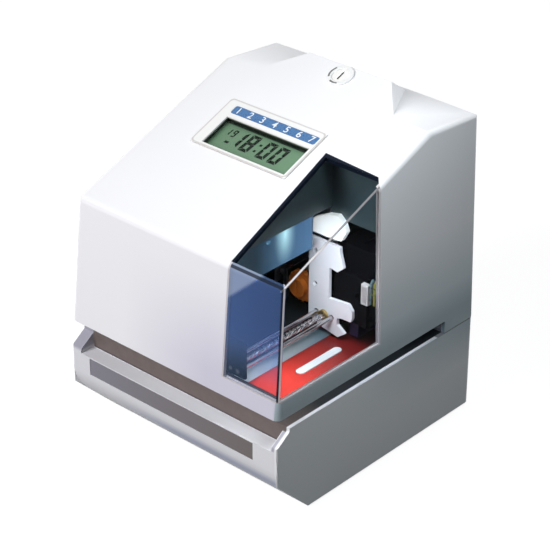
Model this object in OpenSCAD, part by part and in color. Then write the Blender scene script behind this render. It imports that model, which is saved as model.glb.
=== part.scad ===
// Time stamp machine: a low white base carries a print mechanism, and a sloping lift-off cover with a
// clear corner window stands over it. Paper goes into the throat between the base and the cover.

/* [Overall] */
// Width of the base and of the cover's lower edge
body_w = 150; // [140:1:170]
// Depth of the base, front lip to back
body_d = 160; // [154:1:172]
// How far the feet stand out under the base
foot_out = 1.5; // [1:0.1:3]
// Plastic wall of the base and the cover
wall = 2.5; // [2:0.1:3]
// Gap between pieces that are seated or dropped in place
seat_gap = 0.1; // [0.05:0.01:0.2]

/* [Base] */
// Height of the table top above the base's underside
base_h = 55; // [50:1:60]
// Height of the front lip above the base's underside
lip_h = 44; // [40:1:46]
// Height of the lip's upright face above the base's underside
lip_low = 24; // [20:1:28]
// How far the underside starts behind the lip
undercut = 24; // [18:1:28]
// Depth of the shelf on top of the front lip
shelf_d = 9.5; // [8:0.5:11]
// Width of the end walls beside the shelf
end_wall = 7; // [5:0.5:9]
// Width of the strip let into the front lip
inlay_w = 120; // [100:1:124]
// Height of the strip let into the front lip
inlay_h = 11; // [8:0.5:14]
// Depth of the recess for the strip
inlay_t = 1.2; // [0.8:0.1:1.6]

/* [Throat] */
// Free height between the table and the cover
throat_h = 7.5; // [6:0.1:8.5]
// Room behind the throat for the motor
rear_room = 26; // [24:1:30]
// Width of the red and pale blue label on the table
label_w = 47; // [44:1:48]
// Length of the platen strip
platen_l = 34; // [30:1:38]
// Width of the platen strip
platen_w = 5; // [4:0.2:6]

/* [Cover] */
// Height of the crease between the front and the slope, above the base's underside
crease_h = 135; // [128:1:140]
// How far the front leans back up to the crease
front_lean = 7.5; // [5:0.5:9]
// Height of the crown's rear edge above the base's underside
crown_h = 187; // [182:1:192]
// Distance from the crown's rear edge to the back
crown_back = 20; // [18:1:24]
// How far each side leans in, from the lower edge to the top
side_lean = 3.6; // [2:0.2:4]
// Half width of the crown where it leaves the slope
crown_front = 45.7; // [42:0.5:48]
// Half width of the crown at its rear edge
crown_rear = 28.5; // [26:0.5:31]
// Radius on the outer corners
corner_r = 4; // [3:0.5:5]

/* [Window] */
// Width of the window at the crease
window_w = 39; // [37:0.5:41]
// How much further left the window reaches at its top
window_flare = 5.5; // [4:0.5:6]
// Distance from the window's rear edge to the carriage's front plate
window_back = 9.5; // [8:0.5:12]
// Height of the window's lower edge above the cover's lower edge
window_sill = 10; // [8:0.5:12]
// Thickness of the clear window
window_t = 2; // [1.6:0.1:2.4]

/* [Display] */
// Width of the display frame
bezel_w = 67; // [64:0.5:70]
// Length of the display frame along the slope
bezel_l = 35.5; // [35:0.5:38]
// Sideways place of the display frame's middle
bezel_x = -10.3; // [-14:0.1:-9.5]
// Depth place of the display frame's middle
bezel_y = 79.2; // [77:0.2:82]
// Width of the digit panel's opening
lcd_w = 58; // [54:0.5:59]
// Length of the digit panel's opening along the slope
lcd_l = 21; // [18:0.5:21.5]
// Length of the weekday strip along the slope
strip_l = 6; // [5:0.2:6.4]

/* [Print mechanism] */
// Distance from the print line to the right side of the base
print_in = 31.5; // [30:0.5:33]
// Travel of the print carriage, towards the front
carriage_travel = 56; // [48:1:60]
// Distance from the carriage's front plate to the frame's rear plate, at rest
plate_back = 38.5; // [38:0.5:40]
// Radius of the guide rods
rod_r = 1.3; // [1.2:0.1:1.6]
// Distance between the two guide rods
rod_gap = 10.5; // [9.5:0.5:11]
// Running clearance between rods, screw, shafts and their bores
fit_gap = 0.05; // [0.03:0.01:0.08]
// Gear module of the screw drive
gear_m = 1; // [1:0.05:1.1]
// Teeth on the screw gear
gear_n = 20; // [18:1:21]
// Teeth on the motor pinion
pinion_n = 12; // [11:1:13]

/* [Lock] */
// Radius of the lock barrel
lock_r = 5; // [4.5:0.1:5.5]
// Distance from the lock to the crown's rear edge
lock_back = 7.5; // [7:0.5:9]

/* [Hidden] */
$fn = 64;
e = 0.01;
yf = -body_d / 2;
hw = body_w / 2;
zb = foot_out;
table_z = zb + base_h;
lip_z = zb + lip_h;
cover_z = table_z + throat_h;
crease_z = zb + crease_h;
crown_z = zb + crown_h;
crown_y = body_d - crown_back;
lock_y = crown_y - lock_back;
throat_d = body_d - rear_room;
rear_y = throat_d - 6;
bracket_y = rear_y - plate_back;
window_y = bracket_y - window_back;
window_x0 = hw - window_w;
window_x1 = window_x0 - window_flare;
print_x = hw - print_in;
skirt_z = table_z + 0.2;
slope = atan2(crown_z - crease_z, crown_y - front_lean);
sy = cos(slope);
sz = sin(slope);
plate_z = zb + 2.5;
crown_front_y = crown_y - 19;
shoulder_rear_y = body_d - 6;
shoulder_z = slope_z(crown_front_y);
shoulder_drop = 0.085;
shoulder_fall = 0.045;
lcd_u = bezel_w / 2 - lcd_w / 2 - 2;
lcd_v = -bezel_l / 2 + lcd_l / 2 + 2;
strip_v = bezel_l / 2 - strip_l / 2 - 3.6;
board_x = bezel_x - 1.2;
board_y = 83;
rod_x0 = print_x - 21.2;
rod_z = cover_z + 5;
screw_x = rod_x0 + rod_gap / 2;
screw_r = 1.7;
frame_x = -42;
frame_t = 1.5;
gear_d = gear_m * (gear_n + pinion_n) / 2;
pinion_x = screw_x + gear_d * cos(45);
pinion_z = rod_z + gear_d * sin(45);
head_y = bracket_y + 17;
knob_x = print_x - 35.1;
reflector_x = print_x - 24.5;
platen_y0 = head_y - carriage_travel;
label_t = 0.2;
label_x1 = hw - 8;
deck_y = body_d - 110;
post_x = hw - 17;
foot_x = hw - 11;
post_y = [44, body_d - 18];
foot_y = [36, body_d - 10];
inlet_x = hw - 24;
inlet_z = zb + 19;

// Height of the slope's outer face at depth y
function slope_z(y) = crease_z + (y - front_lean) * tan(slope);
// Half width of the cover's outer face at height z
function side_x(z) = hw - side_lean * (z - cover_z) / (crown_z - cover_z);
// Height of the shoulder's outer edge at depth y, where it meets the leaning side
function shoulder_edge_z(y) = let(k = side_lean / (crown_z - cover_z))
  (shoulder_z - shoulder_fall * (hw + k * cover_z - crown_front) - shoulder_drop * (y - crown_front_y))
  / (1 - shoulder_fall * k);
// Height at depth y of the plane that lies w above the slope
function above_slope(y, w) = slope_z(y) + w / sy;
function unit(v) = v / norm(v);
// Corner b of a polygon moved inwards by t on both of its edges
function inset(a, b, c, t) = let(
    u = unit(b - a),
    v = unit(c - b),
    m = [-u.y, u.x],
    n = [-v.y, v.x]
  ) b + t * (m + n) / (1 + m * n);
function inset_all(p, t) = let(k = len(p)) [for (i = [0 : k - 1]) inset(p[(i + k - 1) % k], p[i], p[(i + 1) % k], t)];

// Everything is drawn with the lip's front face at y = 0 and moved back to the middle here
module at_front() {
  translate([0, yf, 0]) children();
}

module box(p, q) {
  translate(p) cube(q - p);
}

// Round bar or hole along Y
module bar_y(x, z, y0, y1, r) {
  translate([x, y0, z]) rotate([-90, 0, 0]) cylinder(r = r, h = y1 - y0);
}

// Round bar or hole along X
module bar_x(y, z, x0, x1, r) {
  translate([x0, y, z]) rotate([0, 90, 0]) cylinder(r = r, h = x1 - x0);
}

// Frame lying on the slope: local x is X, local y runs up the slope, local z stands out of it
module on_slope(x, y) {
  translate([x, y, slope_z(y)]) rotate([slope, 0, 0]) children();
}

// Side outline p (depth, height) drawn across the width from x0 to x1
module across(p, x0, x1) {
  translate([x0, 0, 0]) rotate([90, 0, 90]) linear_extrude(height = x1 - x0) polygon(p);
}

// Takes the sharp edge p to q, between faces with outward normals m and n, down to radius r
module edge_cut(p, q, m, n, r) {
  bis = unit(m + n);
  ch = bis * unit(m);
  sh = sqrt(1 - ch * ch);
  xl = -bis;
  zl = unit(q - p);
  yl = cross(zl, xl);
  multmatrix([
    [xl.x, yl.x, zl.x, p.x],
    [xl.y, yl.y, zl.y, p.y],
    [xl.z, yl.z, zl.z, p.z],
    [0, 0, 0, 1]
  ])
    translate([0, 0, -1]) linear_extrude(height = norm(q - p) + 2) difference() {
      polygon([[-r, -3 * r], [r * sh * sh / ch, -r * sh], [r * sh * sh / ch, r * sh], [-r, 3 * r]]);
      translate([r / ch, 0]) circle(r);
    }
}

// Involute gear blank with a bore, along +Z
function inv_at(rb, a) = [rb * (cos(a) + a * PI / 180 * sin(a)), rb * (sin(a) - a * PI / 180 * cos(a))];
function inv_deg(r, rb) = let(a = sqrt(max(0, pow(r / rb, 2) - 1)) * 180 / PI) a - atan2(a * PI / 180, 1);
module gear(n, m, h, bore, slack) {
  rp = m * n / 2;
  rb = rp * cos(20);
  ra = rp + m * 0.95;
  rr = rp - m * 1.15;
  half = 90 / n - slack / rp * 90 / PI + inv_deg(rp, rb);
  rs = [for (i = [0 : 4]) max(rb, rr) + (ra - max(rb, rr)) * i / 4];
  flank = [for (r = rs) [r, half - inv_deg(r, rb)]];
  linear_extrude(height = h) difference() {
    union() {
      circle(r = rr);
      for (k = [0 : n - 1]) rotate(k * 360 / n) polygon(concat(
        [[rr * 0.8 * cos(half), -rr * 0.8 * sin(half)]],
        [for (f = flank) [f[0] * cos(f[1]), -f[0] * sin(f[1])]],
        [for (i = [4 : -1 : 0]) [flank[i][0] * cos(flank[i][1]), flank[i][0] * sin(flank[i][1])]],
        [[rr * 0.8 * cos(half), rr * 0.8 * sin(half)]]
      ));
    }
    circle(r = bore);
  }
}

// Cover shape without openings, its faces moved in by t
cover_side = [
  [0.6, skirt_z - 20],
  [body_d, skirt_z - 20],
  [body_d, shoulder_z - 6],
  [body_d - 3.5, shoulder_z - 3],
  [crown_y + 13, shoulder_z - 2],
  [crown_y, crown_z],
  [front_lean, crease_z],
  [0.6, cover_z]
];

module shoulder_cut(s, t) {
  n = unit([s * shoulder_fall, shoulder_drop, 1]);
  w = [s * crown_front, crown_front_y, shoulder_z];
  k = [s * crown_rear, crown_y, crown_z];
  f = [s * (crown_rear - 1.5), crown_y + 13, shoulder_z - 2];
  a = unit(cross(k - w, f - w));
  m = a * sign(a.x * s);
  // Space above the shoulder plane and outside the crown's leaning wall
  intersection() {
    halfspace(w - t * n, n);
    halfspace(w - t * m, m);
    translate([s * hw, crown_y, shoulder_z]) cube([body_w, 60, 60], center = true);
  }
}

// Large block on the outer side of the plane through p with outward normal n
module halfspace(p, n) {
  b = acos(n.z);
  c = atan2(n.y, n.x);
  translate(p) rotate([0, b, c]) translate([-150, -150, 0]) cube([300, 300, 150]);
}

module cover_form(t) {
  difference() {
    intersection() {
      across(inset_all(cover_side, t), -hw, hw);
      rotate([90, 0, 0]) translate([0, 0, -body_d - 1]) linear_extrude(height = body_d + 2) polygon([
        [-side_x(skirt_z - 20) + t, skirt_z - 21],
        [side_x(skirt_z - 20) - t, skirt_z - 21],
        [side_x(crown_z + 5) - t, crown_z + 5],
        [-side_x(crown_z + 5) + t, crown_z + 5]
      ]);
    }
    for (s = [-1, 1]) shoulder_cut(s, t);
  }
}

// Outer skin of the cover with its rounded corners and the notch of the throat
module cover_outer() {
  lx = side_lean / (crown_z - cover_z);
  nf = unit([0, -(crease_z - cover_z), front_lean - 0.6]);
  ns = [0, -sz, sy];
  nu = unit([0, shoulder_drop, 1]);
  difference() {
    cover_form(0);
    for (s = [-1, 1]) {
      nx = unit([s, 0, lx]);
      edge_cut([s * side_x(cover_z), 0.6, cover_z], [s * side_x(crease_z), front_lean, crease_z], nf, nx, corner_r);
      edge_cut([s * side_x(crease_z), front_lean, crease_z],
        [s * side_x(shoulder_z), crown_front_y, shoulder_z], ns, nx, corner_r * 0.8);
      edge_cut([s * side_x(skirt_z - 20), body_d, skirt_z - 20], [s * side_x(shoulder_z), body_d, shoulder_z],
        nx, [0, 1, 0], corner_r);
      z1 = shoulder_edge_z(crown_front_y - 3);
      z2 = shoulder_edge_z(body_d);
      edge_cut([s * side_x(z1), crown_front_y - 3, z1], [s * side_x(z2), body_d, z2],
        unit([s * shoulder_fall, shoulder_drop, 1]), nx, 3);
    }
    edge_cut([hw, front_lean, crease_z], [-hw, front_lean, crease_z], nf, ns, 5);
    // Open throat under the front, and the seam above the base at the back
    box([-hw - 1, -5, 0], [hw + 1, throat_d, cover_z]);
    box([-hw - 1, -5, 0], [hw + 1, body_d + 1, skirt_z]);
  }
}

// Column over the part of the table that the window looks onto
module window_column(g) {
  translate([0, 0, cover_z + window_sill - g]) linear_extrude(height = 200) polygon(inset_all([
    [window_x0, -20],
    [window_x0, front_lean],
    [window_x1, window_y + 6],
    [hw - 8, window_y + 4],
    [hw - 4, window_y],
    [hw + 20, window_y],
    [hw + 20, -20]
  ], g));
}

module cover_shell() {
  color([0.93, 0.93, 0.94]) at_front() difference() {
    cover_outer();
    difference() {
      cover_form(wall);
      // Boss under the crown that holds the lock
      translate([0, lock_y, slope_z(lock_y)]) rotate([slope, 0, 0]) translate([0, 0, -wall - 3])
        cylinder(r = lock_r + 4, h = 20);
    }
    window_column(0);
    // Display opening
    on_slope(bezel_x, bezel_y) translate([-bezel_w / 2 + 1, -bezel_l / 2 + 1, -wall - 2])
      cube([bezel_w - 2, bezel_l - 2, wall + 4]);
    on_slope(0, lock_y) translate([0, 0, -wall - 4]) cylinder(r = lock_r + 1.5, h = wall + 8);
  }
}

module window() {
  color([0.75, 0.82, 0.9, 0.35]) at_front() intersection() {
    difference() {
      cover_outer();
      cover_form(window_t);
    }
    window_column(-seat_gap);
  }
}

module lcd_bezel() {
  color([0.95, 0.95, 0.95]) at_front() on_slope(bezel_x, bezel_y) difference() {
    union() {
      // Flange lying on the slope, and the rim that drops into the opening
      linear_extrude(height = 0.9) square([bezel_w, bezel_l], center = true);
      translate([0, 0, -1.2]) linear_extrude(height = 1.7)
        square([bezel_w - 2 - 2 * seat_gap, bezel_l - 2 - 2 * seat_gap], center = true);
    }
    // Opening over the digits and, above it, the shallow seat of the weekday strip
    translate([lcd_u, lcd_v, -3]) linear_extrude(height = 6) square([lcd_w, lcd_l], center = true);
    translate([lcd_u - 0.2, strip_v, 0.4]) linear_extrude(height = 1) strip_outline(0);
  }
}

// Rounded outline of the weekday strip, g smaller all round
module strip_outline(g) {
  r = 1.3;
  square([lcd_w + 1 - 2 * g, strip_l - 2 * r], center = true);
  square([lcd_w + 1 - 2 * r, strip_l - 2 * g], center = true);
  for (s = [-1, 1], t = [-1, 1]) translate([s * ((lcd_w + 1) / 2 - r), t * (strip_l / 2 - r)]) circle(r = r - g);
}

module weekday_strip() {
  color([0.2, 0.42, 0.72]) at_front() on_slope(bezel_x, bezel_y) translate([lcd_u - 0.2, strip_v, 0.4])
    linear_extrude(height = 0.3) strip_outline(seat_gap);
}

module lcd_lens() {
  // Clear plate glued under the frame's rim
  color([0.9, 0.95, 0.95, 0.3]) at_front() on_slope(bezel_x, bezel_y) translate([lcd_u, lcd_v, -2.7])
    linear_extrude(height = 1.42) square([lcd_w + 1, lcd_l + 1], center = true);
}

module light_shield() {
  // Dark plate hung under the roof beside and behind the window
  color([0.22, 0.25, 0.25]) at_front() intersection() {
    cover_form(wall + 0.02);
    union() {
      box([window_x1 - 2, 12, zb + 132.5], [window_x1 - 0.8, bracket_y + 4.5, 200]);
      box([window_x1 - 2, bracket_y + 3.3, zb + 127], [hw - 7, bracket_y + 4.5, 200]);
    }
  }
}

module lamp_diffuser() {
  color([0.62, 0.78, 0.88, 0.7]) at_front() difference() {
    box([window_x1 - 3.2, 17, zb + 112.6], [window_x1 - 2.05, bracket_y - 11, zb + 135.4]);
    // Two holes for the heat-staked pegs
    for (y = [26, bracket_y - 20]) bar_x(y, zb + 134, window_x1 - 5, window_x1, 0.8);
  }
}

module lock_body() {
  color([0.75, 0.76, 0.78]) at_front() on_slope(0, lock_y) difference() {
    union() {
      translate([0, 0, -14]) cylinder(r = lock_r + 1.4, h = 14.6);
      cylinder(r = lock_r + 2.4, h = 1);
      // Nut under the boss
      translate([0, 0, -wall - 6.1]) cylinder(r = lock_r + 4, h = 3, $fn = 6);
    }
    translate([0, 0, -20]) cylinder(r = lock_r + fit_gap, h = 30);
  }
}

module lock_barrel() {
  color([0.82, 0.83, 0.85]) at_front() on_slope(0, lock_y) difference() {
    union() {
      translate([0, 0, -16.5]) cylinder(r = lock_r, h = 17.1);
      translate([0, 0, -19.5]) linear_extrude(height = 3) intersection() {
        circle(r = lock_r - 1);
        square([2 * lock_r, lock_r], center = true);
      }
    }
    // Key slot
    translate([-0.6, -lock_r + 1.8, -8]) cube([1.2, 2 * lock_r - 3.6, 12]);
  }
}

module lock_cam() {
  color([0.7, 0.71, 0.72]) at_front() on_slope(0, lock_y) translate([0, 0, -18.5]) linear_extrude(height = 1.8) difference() {
    union() {
      circle(r = lock_r);
      translate([-4, -17]) square([8, 17]);
      translate([0, -17]) circle(r = 4);
    }
    intersection() {
      circle(r = lock_r - 1);
      square([2 * lock_r, lock_r], center = true);
    }
  }
}

// Outline of the base in the middle, and of its end walls
base_side = [
  [undercut, zb],
  [body_d, zb],
  [body_d, table_z],
  [shelf_d, table_z],
  [shelf_d, lip_z],
  [0, lip_z],
  [0, zb + lip_low]
];
end_side = [
  [undercut, zb],
  [body_d, zb],
  [body_d, table_z],
  [shelf_d + 3, table_z],
  [0.4, lip_z + 2.6],
  [0, lip_z + 1],
  [0, zb + lip_low]
];

module base_tub() {
  color([0.9, 0.9, 0.92]) at_front() difference() {
    union() {
      across(base_side, -hw, hw);
      across(end_side, -hw, -hw + end_wall);
      across(end_side, hw - 4, hw);
      // Left wall of the throat
      box([-hw, shelf_d + 6, table_z - 1], [-hw + 5, throat_d - 0.3, cover_z - 0.2]);
      // Rib inside the cover's back skirt
      box([-hw + wall + 1.2, throat_d + 1.5, table_z - 1], [hw - wall - 1.2, throat_d + 3.5, table_z + 6]);
    }
    // Hollow underside, closed by the bottom plate
    difference() {
      across(inset_all(base_side, wall), -hw + wall, hw - wall);
      // Screw posts under the table
      for (s = [-1, 1], y = post_y) translate([s * post_x, y, plate_z + 2.05]) cylinder(r = 4, h = base_h);
    }
    for (s = [-1, 1], y = post_y) translate([s * post_x, y, plate_z]) cylinder(r = 1.62, h = 14);
    box([-hw + wall, undercut + wall, zb - 1], [hw - wall, body_d - wall, zb + 5]);
    // Recess of the lip strip
    box([-inlay_w / 2 - 1.5, -1, lip_z - inlay_h], [inlay_w / 2 - 1.5, inlay_t, lip_z - 0.6]);
    // Slot of the platen
    translate([print_x, 0, table_z - wall - 1]) platen_shape(seat_gap, wall + 2);
    // Power inlet opening
    box([inlet_x - 11, body_d - wall - 1, inlet_z - 7], [inlet_x + 11, body_d + 1, inlet_z + 7]);
    // Hole for the harness from the main board up to the mechanism
    translate([-56, throat_d - 18, table_z - wall - 1]) cylinder(r = 6, h = wall + 2);
    for (s = [-1, 1]) {
      edge_cut([s * hw, body_d, zb - 1], [s * hw, body_d, table_z + 1], [s, 0, 0], [0, 1, 0], corner_r);
      edge_cut([s * hw, 0, zb + lip_low], [s * hw, 0, lip_z + 3], [s, 0, 0], [0, -1, 0], 1.5);
    }
  }
}

module platen_shape(g, h) {
  linear_extrude(height = h) {
    translate([0, platen_y0 + platen_l / 2]) square([platen_w + 2 * g, platen_l - platen_w], center = true);
    for (s = [-1, 1]) translate([0, platen_y0 + platen_l / 2 + s * (platen_l - platen_w) / 2])
      circle(r = platen_w / 2 + g);
  }
}

module bottom_plate() {
  color([0.35, 0.36, 0.38]) at_front() difference() {
    union() {
      box([-hw + wall + 0.2, undercut + wall + 0.2, zb], [hw - wall - 0.2, body_d - wall - 0.2, plate_z]);
      for (s = [-1, 1], y = post_y) translate([s * post_x, y, plate_z - 0.5]) cylinder(r = 4.5, h = 2.5);
    }
    for (s = [-1, 1], y = post_y) translate([s * post_x, y, zb - 1]) cylinder(r = 1.8, h = 8);
    for (s = [-1, 1], y = post_y) translate([s * post_x, y, zb - 1]) cylinder(r = 3.4, h = 2.4);
    // Cooling slots
    for (x = [-30 : 6 : 30]) box([x - 1.2, 70, zb - 1], [x + 1.2, 100, plate_z + 1]);
    // Seats of the feet
    for (s = [-1, 1], y = foot_y) translate([s * foot_x, y, zb - 1]) cylinder(r = 6.2, h = 2);
  }
}

module feet() {
  color([0.12, 0.12, 0.12]) at_front() for (s = [-1, 1], y = foot_y) translate([s * foot_x, y, 0])
    cylinder(r1 = 5.4, r2 = 6.1, h = zb + 1);
}

module base_screws() {
  color([0.7, 0.7, 0.72]) at_front() for (s = [-1, 1], y = post_y) translate([s * post_x, y, zb + 0.08]) difference() {
    union() {
      cylinder(r = 3, h = 1.3);
      cylinder(r = 1.6, h = 13);
    }
    for (a = [0, 90]) rotate(a) translate([-1.8, -0.35, -1]) cube([3.6, 0.7, 1.7]);
  }
}

module lip_inlay() {
  color([0.45, 0.45, 0.47]) at_front() box([-inlay_w / 2 - 1.5 + seat_gap, 0.2, lip_z - inlay_h + seat_gap],
    [inlay_w / 2 - 1.5 - seat_gap, inlay_t, lip_z - 0.6 - seat_gap]);
}

module position_label() {
  color([0.85, 0.25, 0.2]) at_front() difference() {
    box([label_x1 - label_w, 27, table_z], [label_x1, rear_y - 16, table_z + label_t]);
    translate([print_x, 0, table_z - 1]) platen_shape(0.4, 3);
  }
}

module platen() {
  color([0.95, 0.95, 0.95]) at_front() {
    translate([print_x, 0, table_z - wall - 1]) platen_shape(0, wall + 1.4);
    translate([print_x, 0, table_z - wall - 2.02]) platen_shape(1.6, 2);
  }
}

// Sheet frame standing on the table: left plate, rear plate, front arm for the rods, display tray
module chassis() {
  color([0.55, 0.57, 0.6]) at_front() difference() {
    union() {
      box([frame_x, 18, table_z + 4], [frame_x + frame_t, rear_y + frame_t, zb + 134]);
      box([frame_x, rear_y, table_z], [hw - 11, rear_y + frame_t, zb + 128]);
      box([frame_x, 18, cover_z + 0.8], [rod_x0 + rod_gap + 3.8, 18 + frame_t, cover_z + 22]);
      // Feet folded out onto the table
      box([frame_x - 12, 24, table_z], [frame_x + frame_t, 38, table_z + frame_t]);
      box([frame_x - 12, rear_y - 32, table_z], [frame_x + frame_t, rear_y - 16, table_z + frame_t]);
      box([frame_x, 24, table_z], [frame_x + frame_t, 38, table_z + 6]);
      box([frame_x, rear_y - 32, table_z], [frame_x + frame_t, rear_y - 16, table_z + 6]);
      box([hw - 25, rear_y, table_z], [hw - 11, throat_d + 1, table_z + frame_t]);
      // Tray under the display board
      on_slope(0, board_y) difference() {
        translate([frame_x, -31, -13.5]) cube([67, 48, frame_t]);
        translate([reflector_x - 1.2, (bracket_y - 5.5 - board_y) / 0.931, -15]) cube([60, 60, 5]);
      }
      intersection() {
        box([frame_x, 53, zb + 130], [frame_x + frame_t, 101, 200]);
        on_slope(0, board_y) translate([-hw, -31, -60]) cube([body_w, 48, 60 - 12]);
      }
    }
    // Rod, screw and shaft holes
    for (x = [rod_x0, rod_x0 + rod_gap]) bar_y(x, rod_z, 10, rear_y + 10, rod_r + 0.02);
    bar_y(screw_x, rod_z, 10, rear_y + 10, screw_r - 0.5 + fit_gap);
    bar_y(pinion_x, pinion_z, rear_y - 5, rear_y + 5, 5);
    // Weight-saving cut-outs
    box([frame_x - 1, 50, table_z + 20], [frame_x + 3, rear_y - 42, zb + 112]);
    box([-28, rear_y - 1, table_z + 22], [4, rear_y + 3, zb + 112]);
    on_slope(0, board_y) translate([-24, -19, -15]) cube([36, 22, 4]);
    // Fixing holes
    for (y = [31, rear_y - 24]) translate([frame_x - 6, y, table_z - 1]) cylinder(r = 1.8, h = 5);
  }
}

// Bent strap behind the rear plate; the lock's cam turns in under its lip
module lock_catch() {
  y0 = rear_y + frame_t + 0.02;
  color([0.7, 0.71, 0.73]) at_front() difference() {
    across([
      [y0, zb + 108],
      [y0 + 1.5, zb + 108],
      [y0 + 1.5, zb + 124.5],
      [rear_y + 17, zb + 124.5],
      [rear_y + 17, above_slope(rear_y + 17, -14.8)],
      [lock_y, above_slope(lock_y, -14.8)],
      [lock_y, above_slope(lock_y, -16)],
      [rear_y + 15.5, above_slope(rear_y + 15.5, -16)],
      [rear_y + 15.5, zb + 126],
      [y0, zb + 126]
    ], 12.5, 20.5);
    translate([16.5, y0 - 1, zb + 115]) rotate([-90, 0, 0]) cylinder(r = 1.6, h = 4);
  }
}

module chassis_screws() {
  color([0.78, 0.78, 0.8]) at_front() for (y = [31, rear_y - 24]) translate([frame_x - 6, y, table_z + frame_t]) difference() {
    union() {
      cylinder(r1 = 3, r2 = 2.4, h = 1.8);
      translate([0, 0, -frame_t]) cylinder(r = 1.7, h = frame_t + 1);
    }
    for (a = [0, 90]) rotate(a) translate([-1.6, -0.35, 1]) cube([3.2, 0.7, 2]);
  }
}

module guide_rods() {
  color([0.8, 0.82, 0.84]) at_front() for (x = [rod_x0, rod_x0 + rod_gap])
    bar_y(x, rod_z, 16.5, rear_y + frame_t + 1, rod_r);
}

module lead_screw() {
  color([0.72, 0.73, 0.75]) at_front() {
    bar_y(screw_x, rod_z, 18 + frame_t + 0.3, rear_y - 0.3, screw_r);
    bar_y(screw_x, rod_z, 16.8, rear_y + frame_t + 5.2, screw_r - 0.5);
  }
}

module screw_gear() {
  color([0.92, 0.9, 0.82]) at_front() translate([screw_x, rear_y + frame_t + 5, rod_z]) rotate([90, 0, 0]) {
    rotate(45) gear(gear_n, gear_m, 4, screw_r - 0.5 + e, 0.08);
  }
}

module motor_pinion() {
  color([0.85, 0.7, 0.35]) at_front() translate([pinion_x, rear_y + frame_t + 5, pinion_z]) rotate([90, 0, 0])
    rotate(225 + 180 / pinion_n) gear(pinion_n, gear_m, 4, 1, 0.08);
}

module motor_shaft() {
  color([0.75, 0.76, 0.78]) at_front() bar_y(pinion_x, pinion_z, rear_y + frame_t + 0.6, rear_y + frame_t + 9, 0.99);
}

module motor() {
  mx = pinion_x;
  my = rear_y + frame_t + 5.6;
  color([0.3, 0.31, 0.33]) at_front() difference() {
    union() {
      bar_y(mx, pinion_z, my + 1.2, my + 17, 15);
      // Mounting ears and the two pillars to the rear plate
      translate([mx, my, pinion_z]) rotate([-90, 0, 0]) linear_extrude(height = 1.2) union() {
        circle(r = 15);
        for (s = [-1, 1]) translate([s * 19, 0]) circle(r = 4);
        square([38, 8], center = true);
      }
      for (s = [-1, 1]) bar_y(mx + s * 19, pinion_z, rear_y + frame_t, my + 0.5, 2.2);
    }
    bar_y(mx, pinion_z, my - 1, my + 6, 1.06);
  }
}

module carriage() {
  y0 = bracket_y + 2;
  color([0.12, 0.12, 0.13]) at_front() difference() {
    union() {
      box([rod_x0 - 3.2, y0, rod_z - 4.2], [rod_x0 + rod_gap + 4, y0 + 28, rod_z + 4]);
      // Front arm and cradle plate that carry the head and the cassette
      box([rod_x0 + rod_gap, y0, rod_z + 1.5], [print_x + 11.6, y0 + 3, rod_z + 30]);
      box([rod_x0 + rod_gap - 6, y0, rod_z + 3.5], [print_x + 11.6, y0 + 28, rod_z + 8]);
      // Lug of the ribbon knob
      box([knob_x - 6.4, y0 + 3.8, rod_z - 3], [rod_x0, y0 + 6.8, rod_z + 16]);
    }
    for (x = [rod_x0, rod_x0 + rod_gap]) bar_y(x, rod_z, bracket_y - 20, rear_y + 10, rod_r + fit_gap);
    bar_y(screw_x, rod_z, bracket_y - 20, rear_y + 10, screw_r + fit_gap);
    bar_y(knob_x, rod_z + 9, bracket_y - 20, rear_y + 10, 1.5 + fit_gap);
    // Hole of the head and slots of the ribbon
    translate([print_x, head_y, rod_z]) cylinder(r = 7.2, h = 20);
    for (y = [y0 + 3.7, y0 + 26.8]) box([print_x - 3.6, y, rod_z], [print_x + 3.6, y + 1.4, rod_z + 20]);
    box([rod_x0 - 1, y0 + 8, rod_z - 5], [rod_x0 + rod_gap + 1, y0 + 20, rod_z - 2.6]);
    translate([print_x + 7, y0 - 1, rod_z + 18]) rotate([-90, 0, 0]) cylinder(r = 3, h = 6);
  }
}

// White front plate of the carriage with the arms that guide the ribbon
module ribbon_bracket() {
  color([0.95, 0.95, 0.96]) at_front() translate([0, bracket_y + 2, zb]) rotate([90, 0, 0])
    linear_extrude(height = 2) difference() {
      translate([print_x - 43.5, 0]) polygon([
        [16.5, 63.5], [25, 59.4], [37.3, 57.2], [42, 60.8], [36.6, 64.6], [36.6, 68.6], [40, 69.6], [46, 69.8],
        [47.2, 72], [47, 76.6], [44.2, 80], [30.8, 78.6], [30.8, 97.4], [36.5, 96.6], [40.6, 100.2], [38.2, 108.4],
        [38, 111.8], [17, 111.8], [16.5, 110]
      ]);
      translate([print_x - 22.5, 104]) circle(r = 1.6);
      translate([print_x - 22.5, 84]) circle(r = 1.6);
      // Clearance over the rods and the screw
      for (x = [rod_x0, rod_x0 + rod_gap]) translate([x, rod_z - zb]) circle(r = rod_r + 0.4);
      translate([screw_x, rod_z - zb]) circle(r = 2.32);
    }
}

// White reflector plate on the rear of the light shield, above the carriage's front plate
module reflector() {
  color([0.95, 0.96, 0.97]) at_front() translate([0, bracket_y + 3.28, zb]) rotate([90, 0, 0])
    linear_extrude(height = 3.2) translate([reflector_x - 19, 0]) polygon([
      [19, 115], [31.4, 115], [38.5, 115.8], [41.9, 122], [40, 126.5], [35.8, 130], [29, 128.4], [19.3, 123.1]
    ]);
}

// Brass nut of the lead screw, pressed into the front of the carriage
module drive_nut() {
  color([0.8, 0.65, 0.3]) at_front() difference() {
    union() {
      bar_y(screw_x, rod_z, bracket_y - 1.6, bracket_y - 0.02, 3.1);
      bar_y(screw_x, rod_z, bracket_y - 0.1, bracket_y + 1.98, 2.3);
    }
    bar_y(screw_x, rod_z, bracket_y - 5, bracket_y + 5, screw_r + fit_gap);
  }
}

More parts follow.
